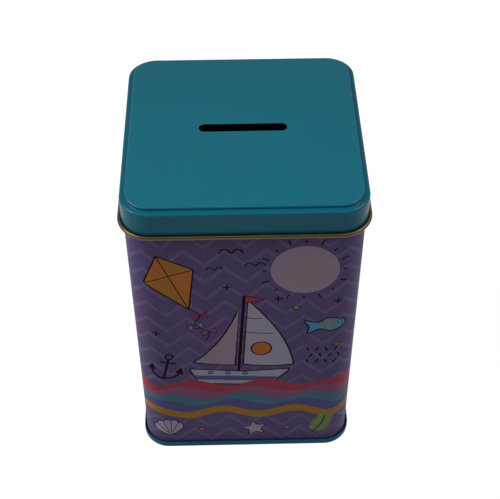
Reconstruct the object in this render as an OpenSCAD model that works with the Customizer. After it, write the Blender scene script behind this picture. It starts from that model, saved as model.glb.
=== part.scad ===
// Square tin coin bank: a drawn slip lid with a coin slot, a rolled wall and
// a countersunk base joined to the wall by a double seam.
// Millimetres. Z points up, the front faces -Y, and the origin lies at the
// middle of the underside.

/* [Body] */
// Outside width of the square wall
body_w = 100; // [80:1:140]
// Outside radius of the wall's upright corners
body_r = 11.6; // [9:0.1:20]
// Height from the base rim to the top of the closed lid
total_h = 164; // [60:1:240]
// Thickness of the tinplate
tin_t = 0.25; // [0.2:0.01:0.3]
// Diameter of the edge rolled inward round the mouth
curl_d = 2; // [1.6:0.1:2.2]

/* [Lid] */
// Depth of the lid, from its raised panel to the underside of its rolled edge
lid_h = 15; // [8:0.5:40]
// Clearance between the wall and the lid's skirt, on each side
lid_gap = 0.55; // [0.3:0.05:1]
// Clearance between the rolled mouth and the underside of the lid's shoulder
seat_gap = 0.1; // [0.05:0.05:0.3]
// Diameter of the edge rolled outward round the skirt
bead_d = 1.9; // [1.4:0.05:2.5]
// Outside radius of the bend between skirt and shoulder
shoulder_bend_r = 0.9; // [0.6:0.1:1.6]
// Width of the flat shoulder between its two bends
shoulder_flat_w = 1.1; // [0.8:0.1:4]
// Radius of the hollow bend at the foot of the raised panel
panel_foot_r = 0.35; // [0.2:0.05:0.8]
// Height of the upright part of the step up to the raised panel
panel_riser_h = 0.6; // [0.05:0.05:2]
// Outside radius of the raised panel's edge
panel_edge_r = 0.7; // [0.4:0.1:1.2]

/* [Coin slot] */
// Length of the slot over its round ends
slot_l = 37.7; // [30:0.1:50]
// Width of the slot
slot_w = 4.9; // [4.2:0.1:6]
// Distance of the slot behind the middle of the lid
slot_y = 0; // [-10:0.5:10]

/* [Base] */
// Height of the double seam that stands out round the foot
seam_h = 3; // [2.6:0.1:5]
// Gap between the folded layers of the double seam
seam_gap = 0.2; // [0.1:0.05:0.25]
// Outside radius of the two bends under the rim
rim_bend_r = 0.6; // [0.4:0.05:0.7]
// Depth of the recess under the base panel
sink_h = 3.2; // [2.5:0.1:6]
// Outside radius of the bend between the recess and the base panel
sink_bend_r = 0.9; // [0.5:0.1:1.5]

/* [Side seam] */
// Width of the folded strip inside the back wall
lock_w = 4.5; // [3:0.1:8]
// Distance that the fold stops short of the seam below and the curl above
lock_end = 6; // [2:0.5:12]
// Width of the groove that the fold leaves outside
groove_w = 0.5; // [0.3:0.05:1]
// Depth of that groove
groove_depth = 0.1; // [0.05:0.01:0.15]

/* [Hidden] */

$fn = 96;
// Steps of the pie slices that cut a bend out of a ring, in degrees
slice_step = 30;
// Reach of a pie slice beyond the ring that it cuts
slice_reach = 1.5;

// Offsets from the wall's outer face are positive outward.
skirt_in = lid_gap;
skirt_out = skirt_in + tin_t;
shoulder_in = skirt_out - shoulder_bend_r - shoulder_flat_w;
riser_face = shoulder_in - panel_foot_r;
panel_edge = riser_face - panel_edge_r;

shoulder_z = total_h - panel_edge_r - panel_riser_h - panel_foot_r;
lid_foot_z = total_h - lid_h;
mouth_z = shoulder_z - tin_t - seat_gap;
curl_r = curl_d / 2;
bead_r = bead_d / 2;
// Angles at which the cut edges of the two rolled rims stop, short of the wall
curl_end = 300;
bead_end = 120;

// The double seam, layer by layer from the inside out
chuck_out = -tin_t - seam_gap;
chuck_in = chuck_out - tin_t;
cover_hook_in = seam_gap;
body_hook_in = cover_hook_in + tin_t + seam_gap;
seam_wall_in = body_hook_in + tin_t + seam_gap;
seam_out = seam_wall_in + tin_t;
// Both folds of the seam turn round one layer and its two gaps
fold_r = (3 * tin_t + 2 * seam_gap) / 2;
body_fold_z = tin_t + seam_gap + fold_r;
cover_fold_z = seam_h - fold_r;
cover_hook_end_z = body_fold_z + seam_gap;
body_hook_end_z = cover_fold_z - seam_gap;
base_plate_edge = chuck_in + tin_t - sink_bend_r;

// The folded side seam is three sheets thicker than the wall
lock_t = 3 * tin_t;
lock_low_z = seam_h + lock_end;
lock_high_z = mouth_z - curl_d - lock_end;

teal = [0.12, 0.42, 0.49];
violet = [0.34, 0.29, 0.45];

// A square with rounded corners, offset outward from the wall's outline
module outline(offset_out) {
    r = body_r + offset_out;
    half = body_w / 2 - body_r;
    square([2 * half, 2 * (half + r)], center = true);
    square([2 * (half + r), 2 * half], center = true);
    for (x = [-half, half]) {
        for (y = [-half, half]) {
            translate([x, y]) circle(r);
        }
    }
}

// Carries a section round the wall. The section's x is its offset outward
// from the wall's outer face, and its y is the height.
module round_the_wall() {
    half = body_w / 2 - body_r;
    for (turn = [0 : 90 : 270]) {
        rotate([0, 0, turn]) {
            translate([half, half, 0]) rotate_extrude(angle = 90) translate([body_r, 0]) children();
            translate([body_w / 2, half, 0]) rotate([90, 0, 0]) linear_extrude(2 * half) children();
        }
    }
}

// A pie slice from one angle to another
module slice(r, from, to) {
    steps = ceil((to - from) / slice_step);
    rim = [for (i = [0 : steps]) let (a = from + (to - from) * i / steps) r * [cos(a), sin(a)]];
    polygon(concat([[0, 0]], rim));
}

// Sheet bent round a centre: a piece of a ring one sheet thick
module bend(x, z, outer_r, from, to) {
    translate([x, z]) intersection() {
        difference() {
            circle(outer_r);
            circle(outer_r - tin_t);
        }
        slice(outer_r * slice_reach, from, to);
    }
}

// A straight run of upright sheet, from its inner face outward
module upright(x, low_z, high_z) {
    translate([x, low_z]) square([tin_t, high_z - low_z]);
}

// A straight run of flat sheet, from its underside upward
module flat(x_in, x_out, z) {
    translate([x_in, z]) square([x_out - x_in, tin_t]);
}

// The lid's sheet, from the raised panel's edge to the rolled edge
module lid_section() {
    bend(panel_edge, total_h - panel_edge_r, panel_edge_r, 0, 90);
    upright(riser_face - tin_t, shoulder_z + panel_foot_r, total_h - panel_edge_r);
    bend(shoulder_in, shoulder_z + panel_foot_r, panel_foot_r + tin_t, 180, 270);
    flat(shoulder_in, skirt_out - shoulder_bend_r, shoulder_z - tin_t);
    bend(skirt_out - shoulder_bend_r, shoulder_z - shoulder_bend_r, shoulder_bend_r, 0, 90);
    upright(skirt_in, lid_foot_z + bead_r, shoulder_z - shoulder_bend_r);
    bend(skirt_in + bead_r, lid_foot_z + bead_r, bead_r, 180, 360 + bead_end);
}

// The wall's sheet, from the hook in the double seam to the rolled mouth
module body_section() {
    upright(body_hook_in, body_fold_z, body_hook_end_z);
    bend(fold_r - tin_t, body_fold_z, fold_r, 180, 360);
    upright(-tin_t, body_fold_z, mouth_z - curl_r);
    bend(-curl_r, mouth_z - curl_r, curl_r, 0, curl_end);
}

// The base's sheet, from the hook in the double seam to the panel's edge
module base_section() {
    upright(cover_hook_in, cover_hook_end_z, cover_fold_z);
    bend(cover_hook_in + fold_r, cover_fold_z, fold_r, 0, 180);
    upright(seam_wall_in, rim_bend_r, cover_fold_z);
    bend(seam_out - rim_bend_r, rim_bend_r, rim_bend_r, 270, 360);
    flat(chuck_in + rim_bend_r, seam_out - rim_bend_r, 0);
    bend(chuck_in + rim_bend_r, rim_bend_r, rim_bend_r, 180, 270);
    upright(chuck_in, rim_bend_r, sink_h + tin_t - sink_bend_r);
    bend(base_plate_edge, sink_h + tin_t - sink_bend_r, sink_bend_r, 0, 90);
}

// The cutter of the coin slot
module coin_slot() {
    reach = slot_l / 2 - slot_w / 2;
    translate([0, slot_y, shoulder_z]) linear_extrude(total_h - shoulder_z + tin_t) {
        square([2 * reach, slot_w], center = true);
        for (x = [-reach, reach]) {
            translate([x, 0]) circle(slot_w / 2);
        }
    }
}

// The strip that the folded side seam makes inside the back wall
module lock_strip() {
    root = body_w / 2 - tin_t / 2;
    face = body_w / 2 - tin_t - lock_t;
    translate([0, 0, lock_low_z]) linear_extrude(lock_high_z - lock_low_z) {
        polygon([
            [-lock_w / 2, root],
            [-lock_w / 2, face + tin_t],
            [-lock_w / 2 + tin_t, face],
            [lock_w / 2 - tin_t, face],
            [lock_w / 2, face + tin_t],
            [lock_w / 2, root]
        ]);
    }
}

// The cutter of the groove outside, over the edge of the fold
module lock_groove() {
    face = body_w / 2;
    translate([-lock_w / 2, 0, lock_low_z]) linear_extrude(lock_high_z - lock_low_z) {
        polygon([
            [0, face - groove_depth],
            [groove_w / 2, face + tin_t],
            [-groove_w / 2, face + tin_t]
        ]);
    }
}

module lid() {
    color(teal) {
        difference() {
            union() {
                round_the_wall() lid_section();
                translate([0, 0, total_h - tin_t]) linear_extrude(tin_t) outline(panel_edge);
            }
            coin_slot();
        }
    }
}

module body() {
    color(violet) {
        difference() {
            union() {
                round_the_wall() body_section();
                lock_strip();
            }
            lock_groove();
        }
    }
}

module base() {
    color(teal) {
        round_the_wall() base_section();
        translate([0, 0, sink_h]) linear_extrude(tin_t) outline(base_plate_edge);
    }
}

lid();
body();
base();
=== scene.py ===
"""A square tin coin bank: printed wall, teal slip lid with a coin slot, and seamed teal base."""

import math

import bpy
from mathutils import Matrix, Vector
from mathutils.geometry import delaunay_2d_cdt


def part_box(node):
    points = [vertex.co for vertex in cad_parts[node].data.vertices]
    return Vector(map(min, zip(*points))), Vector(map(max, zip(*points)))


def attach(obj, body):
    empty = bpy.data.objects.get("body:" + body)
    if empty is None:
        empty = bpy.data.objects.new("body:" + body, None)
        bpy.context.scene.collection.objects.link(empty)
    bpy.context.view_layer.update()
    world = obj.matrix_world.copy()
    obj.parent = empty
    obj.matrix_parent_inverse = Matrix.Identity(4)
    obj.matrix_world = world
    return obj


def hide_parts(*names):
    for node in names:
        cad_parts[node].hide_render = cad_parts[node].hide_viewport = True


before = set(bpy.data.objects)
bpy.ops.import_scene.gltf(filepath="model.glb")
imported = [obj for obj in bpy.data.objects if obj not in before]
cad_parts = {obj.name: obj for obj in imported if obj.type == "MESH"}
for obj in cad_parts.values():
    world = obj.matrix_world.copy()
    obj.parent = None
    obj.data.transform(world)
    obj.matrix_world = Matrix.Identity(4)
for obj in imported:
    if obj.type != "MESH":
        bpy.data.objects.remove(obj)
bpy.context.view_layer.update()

# Millimetres to metres
MM = 0.001

# Sizes of the tin in millimetres, the same as in the CAD source
WALL_W = 100.0
CORNER_R = 11.6
TIN = 0.25
LID_GAP = 0.55
SHOULDER_BEND_R = 0.9
SHOULDER_FLAT_W = 1.1
PANEL_FOOT_R = 0.35
PANEL_RISER_H = 0.6
PANEL_EDGE_R = 0.7
BEAD_R = 0.95
BEAD_TURN = 300
SLOT_L = 37.7
SLOT_W = 4.9
CURL_R = 1.0
CURL_TURN = 300
SEAM_GAP = 0.2
RIM_BEND_R = 0.6
SINK_H = 3.2
SINK_BEND_R = 0.9
LOCK_W = 4.5
LOCK_END = 6.0
GROOVE_W = 0.5
GROOVE_DEPTH = 0.1

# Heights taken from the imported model
TOP_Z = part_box("lid")[1].z / MM
LID_FOOT_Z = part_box("lid")[0].z / MM
MOUTH_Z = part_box("body")[1].z / MM
SEAM_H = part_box("base")[1].z / MM

# Offsets from the wall's outer face, positive outward, and heights above the ground
SKIRT_OUT = LID_GAP + TIN
RISER_FACE = SKIRT_OUT - SHOULDER_BEND_R - SHOULDER_FLAT_W - PANEL_FOOT_R
PANEL_EDGE = RISER_FACE - PANEL_EDGE_R
SHOULDER_Z = TOP_Z - PANEL_EDGE_R - PANEL_RISER_H - PANEL_FOOT_R
FOLD_R = (3 * TIN + 2 * SEAM_GAP) / 2
BODY_FOLD_Z = TIN + SEAM_GAP + FOLD_R
COVER_FOLD_Z = SEAM_H - FOLD_R
COVER_HOOK_END_Z = BODY_FOLD_Z + SEAM_GAP
BODY_HOOK_END_Z = COVER_FOLD_Z - SEAM_GAP
SEAM_OUT = 3 * TIN + 3 * SEAM_GAP
CHUCK_IN = -2 * TIN - SEAM_GAP
BASE_PLATE_EDGE = CHUCK_IN + TIN - SINK_BEND_R
WALL_TOP_Z = MOUTH_Z - CURL_R
LOCK_LOW_Z = SEAM_H + LOCK_END
LOCK_HIGH_Z = MOUTH_Z - 2 * CURL_R - LOCK_END

# The wall's outline, unrolled: distance round it from the middle of the front
STRAIGHT = WALL_W - 2 * CORNER_R
CORNER_ARC = CORNER_R * math.pi / 2
QUARTER = STRAIGHT + CORNER_ARC
GIRTH = 4 * QUARTER

# Straight pieces in each rounded corner, in each round end of the coin slot, and degrees in each
# piece of a bend
CORNER_STEPS = 20
SLOT_END_STEPS = 16
BEND_STEP = 10.0

# Millimetres within which points count as one, on the unrolled wall and where shapes are cut
NEAR = 1e-4
CUT_NEAR = 1e-5
# The cutter's setting that keeps only what lies inside the shapes
CUT_INSIDE = 1
# Decimals of a millimetre that tell corners apart, and distances round the wall
WELD_DIGITS = 4
LEVEL_DIGITS = 6


def outline_at(u):
    """Place and outward direction, seen from above, at a distance u round the wall."""
    along = (u + STRAIGHT / 2) % GIRTH
    side = int(along // QUARTER)
    rest = along - side * QUARTER
    half = STRAIGHT / 2
    if rest <= STRAIGHT:
        place = Vector((rest - half, -WALL_W / 2))
        outward = Vector((0.0, -1.0))
    else:
        angle = (rest - STRAIGHT) / CORNER_R
        outward = Vector((math.sin(angle), -math.cos(angle)))
        place = Vector((half, -half)) + CORNER_R * outward
    turn = Matrix.Rotation(side * math.pi / 2, 2)
    return turn @ place, turn @ outward


def wall_point(u, offset, z):
    """A point at a distance outward from the wall's outer face, in millimetres."""
    place, outward = outline_at(u)
    spot = place + offset * outward
    return Vector((spot.x, spot.y, z))


def tilted(u, outward_part, up_part):
    """A direction with the given parts outward and upward at u."""
    outward = outline_at(u)[1]
    return Vector((outward.x * outward_part, outward.y * outward_part, up_part))


def corner_stations():
    """Distances round the wall at which the rounded corners are divided."""
    found = []
    for side in range(4):
        start = side * QUARTER + STRAIGHT / 2 - GIRTH / 2
        found += [start + CORNER_ARC * i / CORNER_STEPS for i in range(CORNER_STEPS + 1)]
    return found


class Pen:
    """Follows one face of a bent sheet through its section, heading in degrees.

    The face that it follows looks to its left. x is the offset from the wall, z the height."""

    def __init__(self, x, z, heading):
        self.x, self.z, self.heading = x, z, heading
        self.marks = []
        self.mark()

    def mark(self):
        a = math.radians(self.heading)
        self.marks.append((self.x, self.z, -math.sin(a), math.cos(a)))

    def run(self, length):
        a = math.radians(self.heading)
        self.x += length * math.cos(a)
        self.z += length * math.sin(a)
        self.mark()

    def turn(self, radius, degrees):
        """Bends left for positive degrees, right for negative ones."""
        steps = math.ceil(abs(degrees) / BEND_STEP)
        hand = 1 if degrees > 0 else -1
        a = math.radians(self.heading)
        centre_x = self.x - hand * radius * math.sin(a)
        centre_z = self.z + hand * radius * math.cos(a)
        for _ in range(steps):
            self.heading += degrees / steps
            a = math.radians(self.heading)
            self.x = centre_x + hand * radius * math.sin(a)
            self.z = centre_z - hand * radius * math.cos(a)
            self.mark()


def other_side(marks):
    """The same run of sheet, seen on its other face."""
    return [(x - TIN * nx, z - TIN * nz, -nx, -nz) for x, z, nx, nz in marks]


class Shell:
    """Collects faces whose corners carry their own normals, and welds corners in one place."""

    def __init__(self):
        self.places, self.index = [], {}
        self.faces, self.normals, self.slots = [], [], []

    def vertex(self, place):
        key = tuple(round(c, WELD_DIGITS) for c in place)
        if key not in self.index:
            self.index[key] = len(self.places)
            self.places.append(Vector(place) * MM)
        return self.index[key]

    def face(self, corners, slot):
        """Adds one face from (place, normal) pairs, turned to agree with its normals."""
        kept = {}
        for place, normal in corners:
            kept.setdefault(self.vertex(place), (place, normal))
        order = list(kept)
        if len(order) < 3:
            return
        (a, normal_a), (b, normal_b), (c, normal_c) = [kept[i] for i in order[:3]]
        if (b - a).cross(c - a).dot(normal_a + normal_b + normal_c) < 0:
            order.reverse()
        self.faces.append(order)
        self.normals += [kept[i][1].normalized() for i in order]
        self.slots.append(slot)

    def sweep(self, marks, stations, slot):
        """Carries a section round the wall, through the given distances."""
        rings = [[(wall_point(u, x, z), tilted(u, nx, nz)) for u in stations] for x, z, nx, nz in marks]
        for low, high in zip(rings, rings[1:]):
            for i in range(len(stations)):
                j = (i + 1) % len(stations)
                self.face([low[i], low[j], high[j], high[i]], slot)

    def cut_end(self, mark, ahead, stations, slot):
        """Closes the end of a sheet, ahead being 1 where the pen stopped and -1 where it began."""
        x, z, nx, nz = mark
        for i in range(len(stations)):
            pair = (stations[i], stations[(i + 1) % len(stations)])
            facing = [tilted(u, ahead * nz, -ahead * nx) for u in pair]
            front = [wall_point(u, x, z) for u in pair]
            back = [wall_point(u, x - TIN * nx, z - TIN * nz) for u in pair]
            self.face(list(zip(front + back[::-1], facing + facing[::-1])), slot)

    def plate(self, z, offset, facing, hole, stations, slot):
        """A flat panel inside the swept part, with an optional hole."""
        outer = [wall_point(u, offset, z).xy for u in stations]
        points = outer + list(hole)
        rims = [list(range(len(outer)))]
        if hole:
            rims.append(list(range(len(outer), len(points))))
        flat, _, faces, _, _, sources = delaunay_2d_cdt(points, [], rims, CUT_INSIDE, CUT_NEAR)
        normal = Vector((0.0, 0.0, facing))
        for corners, source in zip(faces, sources):
            in_hole = 1 in source
            if not in_hole:
                self.face([(Vector((*flat[i], z)), normal) for i in corners], slot)

    def piece(self, name, materials):
        """Makes the mesh object."""
        mesh = bpy.data.meshes.new(name)
        mesh.from_pydata(self.places, [], self.faces)
        names = list(materials)
        for key in names:
            mesh.materials.append(materials[key])
        mesh.polygons.foreach_set("material_index", [names.index(s) for s in self.slots])
        mesh.polygons.foreach_set("use_smooth", [True] * len(self.faces))
        mesh.normals_split_custom_set(self.normals)
        mesh.update()
        made = bpy.data.objects.new(name, mesh)
        bpy.context.scene.collection.objects.link(made)
        return made


def lid_path():
    """The teal face of the lid, from the raised panel's edge into the rolled edge."""
    pen = Pen(PANEL_EDGE, TOP_Z, 0)
    pen.turn(PANEL_EDGE_R, -90)
    pen.run(PANEL_RISER_H)
    pen.turn(PANEL_FOOT_R, 90)
    pen.run(SHOULDER_FLAT_W)
    pen.turn(SHOULDER_BEND_R, -90)
    pen.run(SHOULDER_Z - SHOULDER_BEND_R - LID_FOOT_Z - BEAD_R)
    skirt_end = len(pen.marks)
    pen.turn(BEAD_R - TIN, BEAD_TURN)
    return pen.marks, skirt_end


def curl_path():
    """The printed face of the wall's rolled mouth, from its cut edge down to the wall."""
    start = math.radians(CURL_TURN)
    pen = Pen(CURL_R * (math.cos(start) - 1), WALL_TOP_Z + CURL_R * math.sin(start), CURL_TURN - 90)
    pen.turn(CURL_R, -CURL_TURN)
    return pen.marks


def body_hook_path():
    """The printed face of the wall where it turns up inside the double seam."""
    pen = Pen(0, BODY_FOLD_Z, -90)
    pen.turn(FOLD_R - TIN, 180)
    pen.run(BODY_HOOK_END_Z - BODY_FOLD_Z)
    return pen.marks


def base_path():
    """The teal face of the base, from the cover hook to the edge of the base panel."""
    pen = Pen(SEAM_GAP, COVER_HOOK_END_Z, 90)
    pen.run(COVER_FOLD_Z - COVER_HOOK_END_Z)
    pen.turn(FOLD_R, -180)
    pen.run(COVER_FOLD_Z - RIM_BEND_R)
    pen.turn(RIM_BEND_R, -90)
    pen.run(SEAM_OUT - CHUCK_IN - 2 * RIM_BEND_R)
    pen.turn(RIM_BEND_R, -90)
    pen.run(SINK_H + TIN - SINK_BEND_R - RIM_BEND_R)
    pen.turn(SINK_BEND_R - TIN, 90)
    return pen.marks


def slot_rim():
    """The coin slot's edge, seen from above."""
    radius = SLOT_W / 2
    reach = SLOT_L / 2 - radius
    rim = []
    for side, first in ((1, -90), (-1, 90)):
        for i in range(SLOT_END_STEPS + 1):
            a = math.radians(first + 180 * i / SLOT_END_STEPS)
            rim.append(Vector((side * reach + radius * math.cos(a), radius * math.sin(a))))
    return rim


# Marks round the rolled edge, from the end of the skirt, between which its crest has a painted dark
# reflection
CREST_FIRST = 21
CREST_LAST = 24


def build_lid(materials):
    shell = Shell()
    stations = corner_stations()
    teal, skirt_end = lid_path()
    gold = other_side(teal)
    rim = slot_rim()
    crest_start = skirt_end - 1 + CREST_FIRST
    crest_end = skirt_end - 1 + CREST_LAST
    shell.sweep(teal, stations, "enamel")
    shell.sweep(gold[:crest_start + 1], stations, "gold")
    # The crest band carries a painted dark reflection
    shell.sweep(gold[crest_start:crest_end + 1], stations, "crest")
    shell.sweep(gold[crest_end:], stations, "gold")
    shell.cut_end(teal[-1], 1, stations, "steel")
    shell.plate(TOP_Z, PANEL_EDGE, 1, rim, stations, "enamel")
    shell.plate(TOP_Z - TIN, PANEL_EDGE, -1, rim, stations, "gold")
    for a, b in zip(rim, rim[1:] + rim[:1]):
        normal = Vector((a.y - b.y, b.x - a.x, 0.0))
        corners = [(*a, TOP_Z), (*b, TOP_Z), (*b, TOP_Z - TIN), (*a, TOP_Z - TIN)]
        shell.face([(Vector(c), normal) for c in corners], "steel")
    return shell.piece("lid_shell", materials)


# Marks of the base's section up to the outer edge of the band of painted shade on the seam's fold, next
# to the wall
COVER_FOLD_MARKS = 14


def build_base(materials):
    shell = Shell()
    stations = corner_stations()
    teal = base_path()
    gold = other_side(teal)
    # The band next to the wall carries painted crevice shade
    shell.sweep(teal[:COVER_FOLD_MARKS], stations, "crevice_shade")
    shell.sweep(teal[COVER_FOLD_MARKS - 1:], stations, "enamel")
    shell.sweep(gold, stations, "gold")
    shell.cut_end(teal[0], -1, stations, "steel")
    shell.plate(SINK_H, BASE_PLATE_EDGE, -1, [], stations, "enamel")
    shell.plate(SINK_H + TIN, BASE_PLATE_EDGE, 1, [], stations, "gold")
    return shell.piece("base_shell", materials)


# Drawing in millimetres on the unrolled wall: u to the right, z up

# Width of the ink line round a motif
LINE = 0.7
# Mitres follow a bend until the cosine of half its angle falls to this, on pen lines and on shapes
LINE_MITRE = 0.5
EDGE_MITRE = 0.6


def polar(radius, degrees):
    a = math.radians(degrees)
    return (radius * math.cos(a), radius * math.sin(a))


def rectangle(low_u, low_z, high_u, high_z):
    return [(low_u, low_z), (high_u, low_z), (high_u, high_z), (low_u, high_z)]


def arc(cu, cz, radius, first, last, steps):
    return [
        (cu + radius * math.cos(math.radians(a)), cz + radius * math.sin(math.radians(a)))
        for a in (first + (last - first) * i / steps for i in range(steps + 1))
    ]


def disc(cu, cz, radius_u, radius_z=None, steps=28):
    radius_z = radius_z or radius_u
    angles = [2 * math.pi * i / steps for i in range(steps)]
    return [(cu + radius_u * math.cos(a), cz + radius_z * math.sin(a)) for a in angles]


def curve(start, control, end, steps=10):
    """A quadratic curve, without its last point."""
    found = []
    for i in range(steps):
        t = i / steps
        found.append(tuple(
            (1 - t) ** 2 * s + 2 * t * (1 - t) * c + t * t * e for s, c, e in zip(start, control, end)
        ))
    return found


def smooth(points, steps=5, closed=True):
    """A curve through all the points."""
    count = len(points)
    found = []
    for i in range(count if closed else count - 1):
        around = [i + k if not closed else (i + k) % count for k in range(-1, 3)]
        near = [points[min(max(k, 0), count - 1)] for k in around]
        for j in range(steps):
            t = j / steps
            weights = (
                (-t + 2 * t ** 2 - t ** 3) / 2,
                (2 - 5 * t ** 2 + 3 * t ** 3) / 2,
                (t + 4 * t ** 2 - 3 * t ** 3) / 2,
                (-t ** 2 + t ** 3) / 2,
            )
            found.append(tuple(sum(w * p[k] for w, p in zip(weights, near)) for k in range(2)))
    if not closed:
        found.append(tuple(points[-1]))
    return found


def softened(points, cut, steps=3):
    """A polygon with its corners rounded."""
    found = []
    count = len(points)
    for i in range(count):
        here = Vector(points[i])
        before = (Vector(points[i - 1]) - here).normalized()
        after = (Vector(points[(i + 1) % count]) - here).normalized()
        start, end = here + before * cut, here + after * cut
        found += curve(tuple(start), tuple(here), tuple(end), steps) + [tuple(end)]
    return found


def stroke(points, width):
    """A pen line as a polygon with mitred bends."""
    places = [Vector(p) for p in points]
    left, right = [], []
    for i, here in enumerate(places):
        ahead = (places[min(i + 1, len(places) - 1)] - here).normalized()
        behind = (here - places[max(i - 1, 0)]).normalized()
        along = (ahead + behind).normalized()
        across = Vector((-along.y, along.x))
        sharp = max(LINE_MITRE, across.dot(Vector((-ahead.y, ahead.x)) if ahead.length else across))
        left.append(tuple(here + across * width / 2 / sharp))
        right.append(tuple(here - across * width / 2 / sharp))
    return left + right[::-1]


def grown(points, distance):
    """A closed shape with its edge moved outward."""
    hand = 1 if area(points) > 0 else -1
    count = len(points)
    found = []
    for i in range(count):
        here = Vector(points[i])
        behind = (here - Vector(points[i - 1])).normalized()
        ahead = (Vector(points[(i + 1) % count]) - here).normalized()
        along = (ahead + behind).normalized()
        outward = Vector((along.y, -along.x)) * hand
        sharp = max(EDGE_MITRE, outward.dot(Vector((ahead.y, -ahead.x)) * hand))
        found.append(tuple(here + outward * distance / sharp))
    return found


def outlined(ink, points, line=LINE):
    """A filled shape with an ink line on its edge."""
    return [("black", grown(points, line / 2)), (ink, grown(points, -line / 2))]


def ring(cu, cz, radius, line):
    return [
        ("black", stroke(arc(cu, cz, radius, 0, 180, 12), line)),
        ("black", stroke(arc(cu, cz, radius, 180, 360, 12), line)),
    ]


def sail(head, edge, clew, foot, tack):
    """A sail with a curved outer edge and a curved foot, and a straight edge along the mast."""
    return curve(head, edge, clew) + curve(clew, foot, tack) + [tack]


def sailboat():
    hull = softened([(-18, 0), (15, 0), (24, 12.5), (2, 10), (-23, 11)], 1.6)
    shapes = outlined("white", hull)
    shapes.append(("violet_blue", [(-19.4, 3), (16.2, 3), (19, 6.2), (-20.6, 6.2)]))
    for u in (-13, -5, 3):
        shapes += outlined("blue", disc(u, 8.4, 1.1, steps=16), 0.4)
    shapes.append(("black", stroke([(0, 10), (0, 63)], 1.3)))
    shapes += outlined("white", sail((1.8, 60), (21, 38), (25, 16), (13, 13), (1.8, 15.5)))
    shapes += outlined("pale", sail((-1.8, 55), (-8, 29), (-21, 16), (-11, 14), (-1.8, 14.5)))
    shapes += outlined("orange", disc(9.5, 27, 4.6))
    for height, reach in ((38.5, 16), (48.5, 9.6)):
        seam = curve((2, height), (reach / 2, height - 1), (reach, height - 0.6))
        shapes.append(("black", stroke(seam, 0.45)))
    shapes += outlined("red", [(0.4, 63), (9, 60.5), (0.4, 58)], 0.5)
    return shapes


def kite():
    top, right, bottom, left, middle = (0, 19), (12, 5), (0, -19), (-12, 5), (0, 5)
    shapes = []
    rim = [top, right, bottom, left, top]
    for i, (a, b) in enumerate(zip(rim, rim[1:])):
        shapes.append(("orange" if i % 2 else "mustard", [middle, a, b]))
    for a, b in ((top, bottom), (left, right)):
        shapes.append(("black", stroke([a, b], 0.5)))
    shapes += [("black", stroke([a, b], LINE)) for a, b in zip(rim, rim[1:])]
    tail = smooth([(0, -19), (3, -25), (-2, -31), (3, -37), (-1, -43)], closed=False)
    shapes.append(("black", stroke(tail, 0.5)))
    for u, z, ink in ((2.9, -25.5, "red"), (-1.6, -31.5, "blue"), (2.7, -37.5, "pink")):
        for side in (-1, 1):
            bow = [(u, z), (u + side * 3.4, z + 2), (u + side * 3.4, z - 2)]
            shapes += outlined(ink, bow, 0.4)
    return shapes


def sun():
    shapes = [("pale", disc(0, 0, 14.5, steps=48))]
    rays = 16
    for i in range(rays):
        angle = 360 * i / rays
        reach = 19.5 if i % 2 else 18
        shapes.append(("black", stroke([polar(16.2, angle), polar(reach, angle)], LINE)))
    return shapes


def gull():
    wing = [(0, 0), (1.8, 2.2), (3.8, 2), (5, 0)]
    wings = [(-u, z) for u, z in reversed(wing[1:])] + wing
    return [("black", stroke(smooth(wings, 4, closed=False), 0.75))]


def fish(ink="blue", stripe="mustard"):
    upper = [(6.5, 3), (1, 4.6), (-4, 2.4), (-10, 4.8)]
    lower = [(u, -z) for u, z in reversed(upper)]
    shapes = outlined(ink, smooth([(9, 0)] + upper + [(-8.6, 0)] + lower))
    for u, half in ((-1.6, 2.9), (1.8, 3.7)):
        shapes.append((stripe, stroke([(u, -half), (u + 0.8, 0), (u, half)], 1.3)))
    shapes += outlined("white", disc(6, 0.9, 1, steps=14), 0.4)
    return shapes


def starfish(ink):
    star = [polar(3.9 if i % 2 else 8.6, 90 + 36 * i) for i in range(10)]
    shapes = outlined(ink, softened(star, 1.3))
    for i in range(5):
        for reach in (2, 4.2):
            shapes.append(("black", disc(*polar(reach, 90 + 72 * i), 0.4, steps=8)))
    return shapes


def scallop():
    rim = [(-2, -6), (-9.5, 0)]
    notches = []
    for i in range(5):
        first, last = 170 - 32 * i, 170 - 32 * (i + 1)
        notch = polar(9.5, last)
        rim += curve(polar(9.5, first), polar(12.3, (first + last) / 2), notch, 5)
        notches.append(notch)
    rim += [(9.5, 0), (2, -6)]
    shapes = outlined("white", rim)
    shapes += [("black", stroke([(n[0] * 0.14, -4.6), n], 0.45)) for n in notches[:4]]
    return shapes


def anchor():
    shapes = ring(0, 9, 1.7, 0.9)
    shapes.append(("black", stroke([(0, 7.3), (0, -6.5)], 1.1)))
    shapes.append(("black", stroke([(-3.8, 4.8), (3.8, 4.8)], 1)))
    shapes.append(("black", stroke(arc(0, -0.5, 6.6, 190, 350, 14), 1.1)))
    for side in (-1, 1):
        shapes.append(("black", [(side * 8.6, -3), (side * 6.9, 2.4), (side * 4.4, -1.6)]))
    return shapes


def palm_leaf():
    spine = curve((0, -11), (2, 2), (-2, 11), 8)
    shapes = []
    for i, (u, z) in enumerate(spine[1:]):
        reach = 7 - 0.55 * abs(i - 2)
        for side in (-1, 1):
            tip = (u + side * reach, z + 3.6)
            under = curve((u, z), (u + side * reach * 0.6, z - 0.6), tip, 5)
            over = curve(tip, (u + side * reach * 0.3, z + 4), (u, z + 1.3), 5)
            shapes.append(("lime", under + over))
    shapes.append(("black", stroke(spine, 0.5)))
    return shapes


def ticks():
    shapes = []
    for row in range(3):
        for column in range(4):
            u, z = column * 4.2 + 1.6 * (row % 2), row * 4.4
            lean = 0.7 if (row + column) % 2 else -0.5
            shapes.append(("black", stroke([(u - lean, z - 1.3), (u + lean, z + 1.3)], 0.8)))
    return shapes


def plus():
    return [("black", stroke(line, LINE)) for line in ([(-1.8, 0), (1.8, 0)], [(0, -1.8), (0, 1.8)])]


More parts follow.
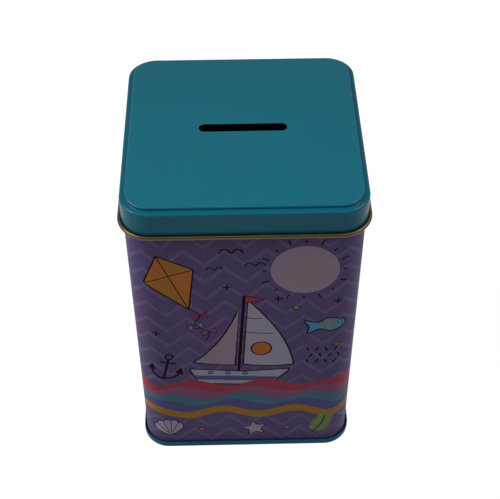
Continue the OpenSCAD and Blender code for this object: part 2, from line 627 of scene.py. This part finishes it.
def bead(ink):
    return outlined(ink, disc(0, 0, 1.5, 1.1, steps=14), 0.4)


def lighthouse():
    def half_width(z):
        return 7.4 - 0.065 * z

    island = [(-19, -3), (-14, 1), (-6, 3), (4, 4), (13, 2), (19, -3), (0, -5)]
    shapes = outlined("mustard", smooth(island))
    tower = [(-half_width(1), 1), (half_width(1), 1), (half_width(40), 40), (-half_width(40), 40)]
    shapes += outlined("white", tower)
    for low in (6, 18, 30):
        high = low + 6
        low_w, high_w = half_width(low) - LINE / 2, half_width(high) - LINE / 2
        shapes.append(("red", [(-low_w, low), (low_w, low), (high_w, high), (-high_w, high)]))
    shapes += outlined("blue", [(-1.8, 1.2), (1.8, 1.2)] + arc(0, 4, 1.8, 0, 180, 8), 0.5)
    shapes += outlined("violet_blue", rectangle(-7, 40, 7, 42.6), 0.6)
    shapes += outlined("mustard", rectangle(-4, 42.6, 4, 49.5), 0.6)
    shapes += outlined("red", [(-5.6, 49.5), (5.6, 49.5), (0, 55)], 0.6)
    for side in (-1, 1):
        for tilt in (-14, 0, 14):
            ray = [(side * u, 46 + z) for u, z in (polar(8, tilt), polar(14, tilt))]
            shapes.append(("black", stroke(ray, 0.6)))
    return shapes


def balloon():
    def envelope(share):
        top = [(share * u, z) for u, z in arc(0, 40, 17, -32, 212, 30)]
        return top + [(-4.6 * share, 16.5), (4.6 * share, 16.5)]

    shapes = []
    for ink, share in (("red", 1), ("white", 0.72), ("teal", 0.44), ("mustard", 0.16)):
        shapes += outlined(ink, envelope(share), 0.6)
    for side in (-1, 1):
        shapes.append(("black", stroke([(side * 4.4, 16.5), (side * 3.6, 8.5)], 0.5)))
    shapes += outlined("orange", softened([(-4.2, 1.5), (4.2, 1.5), (4.6, 8.5), (-4.6, 8.5)], 1))
    return shapes


def placed(shapes, u, z, scale=1.0, tilt=0.0):
    """A motif moved to its place on the unrolled wall."""
    a = math.radians(tilt)
    c, s = scale * math.cos(a), scale * math.sin(a)
    moved = []
    for ink, points in shapes:
        moved.append((ink, [(u + c * p[0] - s * p[1], z + s * p[0] + c * p[1]) for p in points]))
    return moved


# The bare margin on each side of the back seam
SEAM_MARGIN = 2.8
PRINT_END = GIRTH / 2 - SEAM_MARGIN

# Zigzags and waves: how many go round the wall, and their sizes and heights
CHEVRON_COUNT = 22
CHEVRON_RISE = 8.8
CHEVRON_PITCH = 10.6
CHEVRON_LINE = 1.7
CHEVRON_FIRST_Z = -6.0
WAVE_INKS = ("red", "pink", "teal", "violet_blue", "mustard")
WAVE_COUNT = 11
WAVE_RISE = 2.4
WAVE_BAND = 5.2
WAVE_LOW_Z = 24.8
# Angle in radians by which each band's waves run ahead of the band above
WAVE_SHIFT = 0.9
# Straight pieces in each wavy edge
WAVE_STEPS = 220


def chevrons():
    """Zigzag lines right round the wall, one above the other."""
    half_period = GIRTH / CHEVRON_COUNT / 2
    shapes = []
    z = CHEVRON_FIRST_Z
    while z < MOUTH_Z:
        line = []
        for i in range(-CHEVRON_COUNT, CHEVRON_COUNT + 1):
            line.append((i * half_period, z + (CHEVRON_RISE if i % 2 else 0)))
        line[0] = (-PRINT_END, line[0][1] + CHEVRON_RISE * SEAM_MARGIN / half_period)
        line[-1] = (PRINT_END, line[0][1])
        slant = math.hypot(1, CHEVRON_RISE / half_period) * CHEVRON_LINE / 2
        upper = [(u, h + slant) for u, h in line]
        lower = [(u, h - slant) for u, h in reversed(line)]
        shapes.append(("chevron", upper + lower))
        z += CHEVRON_PITCH
    return shapes


def waves():
    """Wavy bands round the foot of the wall, each tucked under the next one down."""
    shapes = []
    for order, ink in enumerate(WAVE_INKS):
        level = WAVE_LOW_Z + WAVE_BAND * (len(WAVE_INKS) - 1 - order)
        edge = []
        for i in range(WAVE_STEPS + 1):
            u = -PRINT_END + 2 * PRINT_END * i / WAVE_STEPS
            phase = 2 * math.pi * WAVE_COUNT * u / GIRTH + WAVE_SHIFT * order
            edge.append((u, level + WAVE_RISE * math.sin(phase)))
        tucked = 0 if ink == WAVE_INKS[-1] else 2 * WAVE_RISE
        lower = [(u, z - tucked) for u, z in edge]
        upper = [(u, z + WAVE_BAND) for u, z in edge]
        shapes.append((ink, lower + upper[::-1]))
    return shapes


def front_print():
    shapes = placed(sun(), 25, 128)
    shapes += placed(kite(), -31, 121, 0.95, 20)
    for u, z, scale in ((-6, 139, 1), (4, 131, 0.85), (-13, 129, 0.7)):
        shapes += placed(gull(), u, z, scale)
    shapes += placed(fish(), 36, 92, 0.95, 10)
    shapes += placed(anchor(), -37, 62, 1, -12)
    shapes += placed(ticks(), 28, 66)
    for u, z in ((-8, 118), (40, 108), (-40, 88), (14, 110)):
        shapes += placed(plus(), u, z)
    for u, z, ink in ((22, 104, "lime"), (-22, 92, "red"), (41, 78, "mustard")):
        shapes += placed(bead(ink), u, z)
    return shapes


def side_print():
    shapes = placed(lighthouse(), QUARTER, 46)
    shapes += placed(balloon(), -QUARTER, 72)
    for u, z, scale in ((69, 112, 1), (76, 121, 0.8), (121, 129, 1), (-72, 84, 0.9), (-121, 112, 1)):
        shapes += placed(gull(), u, z, scale)
    for u, z in ((72, 84), (118, 104), (96, 132), (-68, 118), (-122, 90), (-80, 62), (-112, 66)):
        shapes += placed(plus(), u, z)
    for u, z, ink in ((66, 98, "lime"), (124, 84, "red"), (-70, 100, "mustard"), (-124, 76, "blue")):
        shapes += placed(bead(ink), u, z)
    return shapes


def back_print():
    shapes = placed(sailboat(), 161, 82, 0.6, 3)
    shapes += placed(fish("orange", "white"), 160, 133, 1, -8)
    shapes += placed(anchor(), 146, 64, 1, 10)
    shapes += placed(ticks(), 168, 62)
    shapes += placed(sun(), -157, 126, 0.7)
    shapes += placed(kite(), -166, 96, 0.7, -16)
    shapes += placed(fish(), -146, 66, 0.95, 8)
    for u, z, scale in ((-140, 100, 1), (-147, 107, 0.8), (140, 118, 0.9)):
        shapes += placed(gull(), u, z, scale)
    for u, z in ((180, 118), (142, 100), (-176, 132), (-138, 84), (-180, 68)):
        shapes += placed(plus(), u, z)
    return shapes


def foot_print():
    """A row of small motifs under the waves, right round the wall."""
    shapes = []
    for u, star_ink in ((4, "white"), (98, "orange"), (164, "white"), (-104, "pink")):
        shapes += placed(starfish(star_ink), u, 13, 0.75, 12)
    for u in (-38, 66, 146, -140):
        shapes += placed(scallop(), u, 13.5, 0.75, 8)
    for u in (36, 127, -70, -172):
        shapes += placed(palm_leaf(), u, 16, 0.8, -25)
    beads = {-22: "orange", 20: "blue", 80: "red", 113: "lime", -88: "blue", -122: "mustard"}
    for u, ink in beads.items():
        shapes += placed(bead(ink), u, 13)
    return shapes


def print_shapes():
    """Everything printed on the wall, from the ground up."""
    shapes = chevrons()
    shapes += front_print() + side_print() + back_print()
    shapes += placed(sailboat(), -4, 49.5, 1.0, -3)
    shapes += waves()
    shapes += foot_print()
    return shapes


def area(points):
    """The area inside a closed line, positive where it runs counter-clockwise."""
    pairs = zip(points, points[1:] + points[:1])
    return sum(a[0] * b[1] - b[0] * a[1] for a, b in pairs) / 2


def triangulated(frame_edge, lines, shapes):
    """Cuts the unrolled wall along every line and shape.

    Gives the points, and for each triangle the ink of the topmost shape over it."""
    points = [Vector(p) for p in frame_edge]
    faces = [list(range(len(points)))]
    for _, polygon in shapes:
        turned = polygon if area(polygon) > 0 else polygon[::-1]
        faces.append(list(range(len(points), len(points) + len(turned))))
        points += [Vector(p) for p in turned]
    edges = []
    for a, b in lines:
        edges.append((len(points), len(points) + 1))
        points += [Vector(a), Vector(b)]
    flat, _, triangles, _, _, sources = delaunay_2d_cdt(points, edges, faces, CUT_INSIDE, CUT_NEAR)
    inks = ["ground"] + [ink for ink, _ in shapes]
    return flat, [(t, inks[max(s)]) for t, s in zip(triangles, sources) if 0 in s]


def levels_on(points, z):
    """The distances round the wall of the points that lie on one level, in order."""
    return sorted({round(p.x, LEVEL_DIGITS) for p in points if abs(p.y - z) < NEAR})


# The groove over the fold of the side seam: its middle line on the unrolled wall, and the heights
# between which it has its full depth
GROOVE_U = LOCK_W / 2 - GIRTH / 2
GROOVE_LOW_Z = LOCK_LOW_Z + GROOVE_W
GROOVE_HIGH_Z = LOCK_HIGH_Z - GROOVE_W
# The inside of the wall there: three folded layers lie on the wall's own sheet
LOCK_FACE = -4 * TIN


def back_seam():
    """The bare margins at the back and the groove between them, on the unrolled wall."""
    half = GIRTH / 2
    side = GROOVE_W / 2
    groove = [
        (GROOVE_U, LOCK_LOW_Z), (GROOVE_U + side, GROOVE_LOW_Z),
        (GROOVE_U + side, GROOVE_HIGH_Z), (GROOVE_U, LOCK_HIGH_Z),
        (GROOVE_U - side, GROOVE_HIGH_Z), (GROOVE_U - side, GROOVE_LOW_Z),
    ]
    return [
        ("bare", rectangle(-half, BODY_FOLD_Z, -PRINT_END, WALL_TOP_Z)),
        ("bare", rectangle(PRINT_END, BODY_FOLD_Z, half, WALL_TOP_Z)),
        ("groove", groove),
    ]


def slanted(places, wall_normal):
    """The true normals of a slanted triangle, on the side that the wall's normal is on."""
    cross = (places[1] - places[0]).cross(places[2] - places[0])
    return [cross if cross.dot(wall_normal) > 0 else -cross] * 3


def build_wall_outside(made):
    """The printed face of the wall. Gives the points of the unrolled wall."""
    box = rectangle(-GIRTH / 2, BODY_FOLD_Z, GIRTH / 2, WALL_TOP_Z)
    lines = [((u, BODY_FOLD_Z), (u, WALL_TOP_Z)) for u in corner_stations()]
    lines.append(((GROOVE_U, GROOVE_LOW_Z), (GROOVE_U, GROOVE_HIGH_Z)))
    flat, triangles = triangulated(box, lines, print_shapes() + back_seam())

    def outside(p):
        sunk = abs(p.x - GROOVE_U) < NEAR and GROOVE_LOW_Z - NEAR < p.y < GROOVE_HIGH_Z + NEAR
        return wall_point(p.x, -GROOVE_DEPTH if sunk else 0.0, p.y)

    for triangle, ink in triangles:
        places = [outside(flat[i]) for i in triangle]
        normals = [tilted(flat[i].x, 1, 0) for i in triangle]
        if ink == "groove":
            made.face(list(zip(places, slanted(places, normals[0]))), "bare")
        else:
            made.face(list(zip(places, normals)), ink)
    return flat


def build_body(materials):
    made = Shell()
    flat = build_wall_outside(made)
    low_u = levels_on(flat, BODY_FOLD_Z)[:-1]
    high_u = levels_on(flat, WALL_TOP_Z)[:-1]
    curl = curl_path()
    hook = body_hook_path()
    made.sweep(curl, high_u, "ground")
    made.sweep(other_side(curl), high_u, "gold")
    made.cut_end(curl[0], -1, high_u, "steel")
    made.sweep(hook, low_u, "ground")
    made.sweep(other_side(hook), low_u, "gold")
    made.cut_end(hook[-1], 1, low_u, "steel")
    build_wall_inside(made, low_u, high_u)
    return made.piece("body_wall", materials)


def build_wall_inside(made, low_u, high_u):
    """The gold inner face of the wall, with the folded strip of the side seam.

    It is unrolled from the middle of the front, so the strip isn't cut."""
    ends = {0.0, round(GIRTH, LEVEL_DIGITS)}
    low = sorted({round(u % GIRTH, LEVEL_DIGITS) for u in low_u} | ends)
    high = sorted({round(u % GIRTH, LEVEL_DIGITS) for u in high_u} | ends)
    edge = [(u, BODY_FOLD_Z) for u in low] + [(u, WALL_TOP_Z) for u in reversed(high)]
    lines = [((u % GIRTH, BODY_FOLD_Z), (u % GIRTH, WALL_TOP_Z)) for u in corner_stations()]
    strips = []
    for name, inset in (("slope", 0.0), ("strip", TIN)):
        half = LOCK_W / 2 - inset
        low_z, high_z = LOCK_LOW_Z + inset, LOCK_HIGH_Z - inset
        strips.append((name, rectangle(GIRTH / 2 - half, low_z, GIRTH / 2 + half, high_z)))
    flat, triangles = triangulated(edge, lines, strips)
    raised_u = LOCK_W / 2 - TIN + NEAR

    def inside(p):
        raised = abs(p.x - GIRTH / 2) < raised_u and LOCK_LOW_Z + TIN / 2 < p.y < LOCK_HIGH_Z - TIN / 2
        return wall_point(p.x, LOCK_FACE if raised else -TIN, p.y)

    for triangle, part in triangles:
        places = [inside(flat[i]) for i in triangle]
        normals = [tilted(flat[i].x, -1, 0) for i in triangle]
        if part == "slope":
            normals = slanted(places, normals[0])
        made.face(list(zip(places, normals)), "gold")


# Materials


def linear(red, green, blue):
    """A colour from its 0 to 255 values on screen."""
    def part(value):
        share = value / 255
        return share / 12.92 if share <= 0.04045 else ((share + 0.055) / 1.055) ** 2.4

    return (part(red), part(green), part(blue), 1.0)


# Most of a noise's values lie between these
NOISE_LOW = 0.3
NOISE_HIGH = 0.7


class Surface:
    """A node material on the object's own coordinates."""

    def __init__(self, name):
        self.material = bpy.data.materials.new(name)
        self.material.use_nodes = True
        self.tree = self.material.node_tree
        self.shader = self.tree.nodes["Principled BSDF"]
        self.place = self.node("ShaderNodeTexCoord").outputs["Object"]

    def node(self, kind, **settings):
        made = self.tree.nodes.new(kind)
        for key, value in settings.items():
            setattr(made, key, value)
        return made

    def link(self, source, target):
        self.tree.links.new(source, target)

    def noise(self, scale, detail=2.0, rough=0.5):
        """Soft noise, scale in spots per metre."""
        made = self.node("ShaderNodeTexNoise")
        made.inputs["Scale"].default_value = scale
        made.inputs["Detail"].default_value = detail
        made.inputs["Roughness"].default_value = rough
        self.link(self.place, made.inputs["Vector"])
        return made.outputs["Fac"]

    def height(self):
        """The height on the object, in metres."""
        made = self.node("ShaderNodeSeparateXYZ")
        self.link(self.place, made.inputs["Vector"])
        return made.outputs["Z"]

    def spread(self, value, low, high, to_low, to_high):
        """Maps a range of values to another."""
        made = self.node("ShaderNodeMapRange")
        limits = {"From Min": low, "From Max": high, "To Min": to_low, "To Max": to_high}
        for name, number in limits.items():
            made.inputs[name].default_value = number
        self.link(value, made.inputs["Value"])
        return made.outputs["Result"]

    def mixed(self, factor, first, second):
        """Mixes two colours."""
        made = self.node("ShaderNodeMix", data_type="RGBA")
        self.link(factor, made.inputs["Factor"])
        for name, colour in (("A", first), ("B", second)):
            if isinstance(colour, tuple):
                made.inputs[name].default_value = colour
            else:
                self.link(colour, made.inputs[name])
        return made.outputs["Result"]

    def clouded(self, colour, scale, detail, dark, light):
        """A colour that wanders between two shades of itself."""
        return self.mixed(self.noise(scale, detail), shade(colour, dark), shade(colour, light))

    def roughness(self, scale, detail, low, high):
        """Roughness that wanders between two values."""
        uneven = self.spread(self.noise(scale, detail), NOISE_LOW, NOISE_HIGH, low, high)
        self.link(uneven, self.shader.inputs["Roughness"])

    def bump(self, scale, rise):
        """Unevenness that rises by a height in metres."""
        made = self.node("ShaderNodeBump")
        made.inputs["Distance"].default_value = rise
        self.link(self.noise(scale), made.inputs["Height"])
        self.link(made.outputs["Normal"], self.shader.inputs["Normal"])

    def colour(self, output):
        self.link(output, self.shader.inputs["Base Color"])

    def gloss(self, level):
        self.shader.inputs["Specular IOR Level"].default_value = level

    def metal(self):
        self.shader.inputs["Metallic"].default_value = 1.0


def shade(colour, factor):
    """A colour made darker or lighter."""
    return tuple(c * factor for c in colour[:3]) + (1.0,)


# How strongly each finish shines
ENAMEL_GLOSS = 0.085
BASE_GLOSS = 0.04
INK_GLOSS = 0.06
BLACK_GLOSS = 0.01

# The enamel: on the flat lid, its skirt with a greyer tint of painted shade, its step and just above
# its rolled edge with painted shade, and on the base
TEAL = linear(17, 101, 119)
SKIRT_SHADE_TEAL = linear(22, 99, 119)
STEP_SHADE_TEAL = linear(8, 92, 112)
CREASE_SHADE_TEAL = linear(6, 62, 72)
BASE_TEAL = linear(24, 100, 133)
# Height of the painted shade in the crease above the rolled edge, in millimetres
CREASE_SHADE_RISE = 2.0

GOLD = linear(75, 67, 47)
# Painted dark reflection along the crest of the rolled edge
DARK_REFLECTION_GOLD = linear(46, 34, 12)
STEEL = linear(70, 72, 74)
# Painted shade on the seam's upper fold, in the crevice against the wall
CREVICE_SHADE_TEAL = linear(13, 35, 60)

# Unevenness of paint and of lacquer, in spots per metre and metres of height
PAINT_BUMPS = 900
PAINT_RISE = 0.000004
LACQUER_BUMPS = 1500
LACQUER_RISE = 0.000003


def enamel_surface(name, gloss):
    """Satin enamel, before its colour is set."""
    made = Surface(name)
    made.roughness(60, 4, 0.3, 0.36)
    made.bump(PAINT_BUMPS, PAINT_RISE)
    made.gloss(gloss)
    return made


def cloudy(made, colour):
    """Enamel with faint clouds in it."""
    return made.clouded(colour, 22, 3, 0.965, 1.035)


def lid_enamel_material():
    """Teal enamel with painted shade: a greyer tint on the skirt, darker in the step and in the crease
    above the rolled edge.
    """
    made = enamel_surface("lid_enamel", ENAMEL_GLOSS)
    height = made.height()
    bead_top = LID_FOOT_Z + 2 * BEAD_R
    # Where painted shade goes: on the step, on the skirt, and in the crease above the rolled edge
    in_step_shade = made.spread(height, SHOULDER_Z * MM, TOP_Z * MM, 1, 0)
    on_skirt_shade = made.spread(height, (SHOULDER_Z - SHOULDER_BEND_R) * MM, SHOULDER_Z * MM, 1, 0)
    in_crease_shade = made.spread(height, bead_top * MM, (bead_top + CREASE_SHADE_RISE) * MM, 1, 0)
    tone = made.mixed(in_step_shade, cloudy(made, TEAL), STEP_SHADE_TEAL)
    tone = made.mixed(on_skirt_shade, tone, cloudy(made, SKIRT_SHADE_TEAL))
    made.colour(made.mixed(in_crease_shade, tone, CREASE_SHADE_TEAL))
    return made.material


def base_enamel_material():
    made = enamel_surface("base_enamel", BASE_GLOSS)
    made.colour(cloudy(made, BASE_TEAL))
    return made.material


def gold_material():
    made = Surface("gold_lacquer")
    made.colour(made.clouded(GOLD, 90, 3, 0.8, 1.15))
    made.roughness(200, 3, 0.28, 0.4)
    made.bump(LACQUER_BUMPS, LACQUER_RISE)
    made.metal()
    return made.material


def crest_reflection_material():
    """The lacquer on the crest of the rolled edge, darkened brown as a painted dark reflection."""
    made = Surface("dark_reflection_lacquer")
    made.colour(made.clouded(DARK_REFLECTION_GOLD, 120, 3, 0.75, 1.3))
    made.roughness(200, 3, 0.32, 0.44)
    made.metal()
    return made.material


def steel_material():
    made = Surface("cut_tinplate")
    made.colour(made.clouded(STEEL, 300, 3, 0.7, 1.1))
    made.roughness(400, 2, 0.4, 0.55)
    made.metal()
    return made.material


def ink_material(name, colour):
    """Printing ink under a satin varnish, a little uneven in density, with a fine grain."""
    made = Surface("ink_" + name)
    uneven = made.mixed(made.noise(45, 4, 0.6), shade(colour, 0.96), shade(colour, 1.04))
    grain = made.spread(made.noise(2600, 1), 0.35, 0.65, 0, 0.12)
    made.colour(made.mixed(grain, uneven, shade(colour, 0.85)))
    made.roughness(120, 3, 0.48, 0.56)
    made.bump(PAINT_BUMPS, PAINT_RISE)
    made.gloss(BLACK_GLOSS if name == "black" else INK_GLOSS)
    return made.material


INKS = {
    "ground": linear(92, 77, 121),
    "chevron": linear(109, 94, 133),
    "white": linear(170, 164, 184),
    "pale": linear(160, 142, 159),
    "red": linear(160, 62, 80),
    "pink": linear(137, 85, 116),
    "teal": linear(78, 113, 135),
    "violet_blue": linear(82, 84, 133),
    "mustard": linear(168, 118, 48),
    "orange": linear(188, 110, 56),
    "blue": linear(86, 152, 194),
    "lime": linear(122, 146, 76),
    "black": linear(22, 14, 22),
    "bare": linear(120, 112, 100),
}


def body_materials():
    made = {name: ink_material(name, colour) for name, colour in INKS.items()}
    made["gold"] = gold_material()
    made["steel"] = steel_material()
    return made


def crevice_shade_material():
    """The enamel on the tight upper fold of the double seam, darkened as painted shade of the crevice
    between it and the wall.
    """
    made = Surface("crevice_shade_enamel")
    made.colour(made.clouded(CREVICE_SHADE_TEAL, 400, 3, 0.7, 1.3))
    made.roughness(300, 3, 0.4, 0.55)
    made.gloss(BASE_GLOSS)
    return made.material


def lid_materials():
    return {
        "enamel": lid_enamel_material(),
        "gold": gold_material(),
        "crest": crest_reflection_material(),
        "steel": steel_material(),
    }


def base_materials():
    return {
        "enamel": base_enamel_material(),
        "crevice_shade": crevice_shade_material(),
        "gold": gold_material(),
        "steel": steel_material(),
    }


# Stage, light and camera

# The photograph's camera: place, aim, lens and sensor in millimetres, roll in degrees, and the
# nearest that it sees in metres
CAMERA_PLACE = Vector((-5.0, -358.1, 465.4))
CAMERA_AIM = Vector((2.93, 0.0, 88.43))
CAMERA_ROLL = -0.08
CAMERA_LENS = 78.67
SENSOR_W = 36.0
CAMERA_NEAREST = 0.01


def make_camera():
    data = bpy.data.cameras.new("camera")
    data.sensor_width = SENSOR_W
    data.lens = CAMERA_LENS
    data.clip_start = CAMERA_NEAREST
    made = bpy.data.objects.new("camera", data)
    made.location = CAMERA_PLACE * MM
    aim = (CAMERA_AIM - CAMERA_PLACE).to_track_quat("-Z", "Y").to_matrix()
    made.rotation_euler = (aim @ Matrix.Rotation(math.radians(CAMERA_ROLL), 3, "Z")).to_euler()
    bpy.context.scene.collection.objects.link(made)
    bpy.context.scene.camera = made


def seen_directly(tree):
    """1 for rays that show the background: straight from the camera, in gloss or through glass."""
    paths = tree.nodes.new("ShaderNodeLightPath")
    total = paths.outputs["Is Camera Ray"]
    for name in ("Is Glossy Ray", "Is Transmission Ray"):
        add = tree.nodes.new("ShaderNodeMath")
        add.operation = "MAXIMUM"
        tree.links.new(total, add.inputs[0])
        tree.links.new(paths.outputs[name], add.inputs[1])
        total = add.outputs[0]
    return total


# The floor's width in metres, and how bright floor and world are: to the light and to the eye
FLOOR_W = 60.0
FLOOR_GREY = 0.3
FLOOR_SHOWN = 0.9
WORLD_GREY = 0.08
WORLD_SHOWN = 1.0


def floor_material():
    """Matt grey to the light, and white to the eye apart from the shadow on it."""
    material = bpy.data.materials.new("floor")
    material.use_nodes = True
    tree = material.node_tree
    tree.nodes.clear()
    paint = tree.nodes.new("ShaderNodeBsdfDiffuse")
    paint.inputs["Color"].default_value = (FLOOR_GREY, FLOOR_GREY, FLOOR_GREY, 1)
    shine = tree.nodes.new("ShaderNodeEmission")
    level = tree.nodes.new("ShaderNodeMath")
    level.operation = "MULTIPLY"
    level.inputs[1].default_value = FLOOR_SHOWN
    tree.links.new(seen_directly(tree), level.inputs[0])
    tree.links.new(level.outputs[0], shine.inputs["Strength"])
    both = tree.nodes.new("ShaderNodeAddShader")
    tree.links.new(paint.outputs[0], both.inputs[0])
    tree.links.new(shine.outputs[0], both.inputs[1])
    output = tree.nodes.new("ShaderNodeOutputMaterial")
    tree.links.new(both.outputs[0], output.inputs["Surface"])
    return material


def make_floor():
    mesh = bpy.data.meshes.new("floor")
    half = FLOOR_W / 2
    corners = [(-half, -half, 0), (half, -half, 0), (half, half, 0), (-half, half, 0)]
    mesh.from_pydata(corners, [], [(0, 1, 2, 3)])
    mesh.materials.append(floor_material())
    made = bpy.data.objects.new("floor", mesh)
    bpy.context.scene.collection.objects.link(made)


def make_world():
    """Soft grey light from all round, shown as white."""
    world = bpy.data.worlds.new("world")
    bpy.context.scene.world = world
    world.use_nodes = True
    tree = world.node_tree
    back = tree.nodes["Background"]
    level = tree.nodes.new("ShaderNodeMix")
    level.inputs["A"].default_value = WORLD_GREY
    level.inputs["B"].default_value = WORLD_SHOWN
    tree.links.new(seen_directly(tree), level.inputs["Factor"])
    tree.links.new(level.outputs["Result"], back.inputs["Strength"])
    back.inputs["Color"].default_value = (1, 1, 1, 1)


# Soft boxes: name, place and aim in metres, side lengths in metres, power in watts
LAMPS = (
    ("lamp_left", (-0.83, -0.146, 0.807), (0, 0, 0.1), (0.6, 0.6), 6.5),
    ("lamp_right", (0.834, -0.117, 0.807), (0, 0, 0.1), (0.6, 0.6), 3.5),
    ("lamp_top", (-0.05, -0.3, 1.1), (0, 0, 0.1), (0.9, 0.9), 0.7),
    ("lamp_lid", (-0.02, -0.05, 0.284), (-0.02, -0.05, 0.1), (0.3, 0.06), 0.085),
    ("lamp_front", (0.0, -1.25, 0.45), (0, 0, 0.08), (1.0, 0.5), 0.85),
    ("lamp_back", (0.0, 1.1, 0.25), (0, 0, 0.08), (0.8, 0.4), 0.84),
)

# Lights that only show as a gleam: strips for the tight bends, a card low in front for the skirt
GLEAMS = (
    ("gleam_left", (-0.79, -0.139, 0.772), (0, 0, 0.1), (0.5, 0.2), 20.0),
    ("gleam_right", (0.794, -0.111, 0.772), (0, 0, 0.1), (0.5, 0.2), 11.0),
    ("gleam_front", (0.0, -0.28, 0.004), (0.0, -0.28, 0.2), (0.8, 0.24), 0.28),
)


def make_lamps(lamps, lights_paint):
    for name, place, aim, size, power in lamps:
        data = bpy.data.lights.new(name, "AREA")
        data.shape = "RECTANGLE"
        data.size, data.size_y = size
        data.energy = power
        made = bpy.data.objects.new(name, data)
        made.location = place
        made.visible_camera = False
        made.visible_diffuse = lights_paint
        made.rotation_euler = (Vector(aim) - Vector(place)).to_track_quat("-Z", "Y").to_euler()
        bpy.context.scene.collection.objects.link(made)


bpy.context.scene.view_settings.view_transform = "Standard"
make_camera()
make_world()
make_floor()
make_lamps(LAMPS, True)
make_lamps(GLEAMS, False)

lid = build_lid(lid_materials())
body = build_body(body_materials())
base = build_base(base_materials())
for piece, carrier, node, slot in (
    (lid, "lid", "lid", "lid_enamel"),
    (body, "tin", "body", "printed_tin"),
    (base, "tin", "base", "base_enamel"),
):
    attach(piece, carrier)
    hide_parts(node)
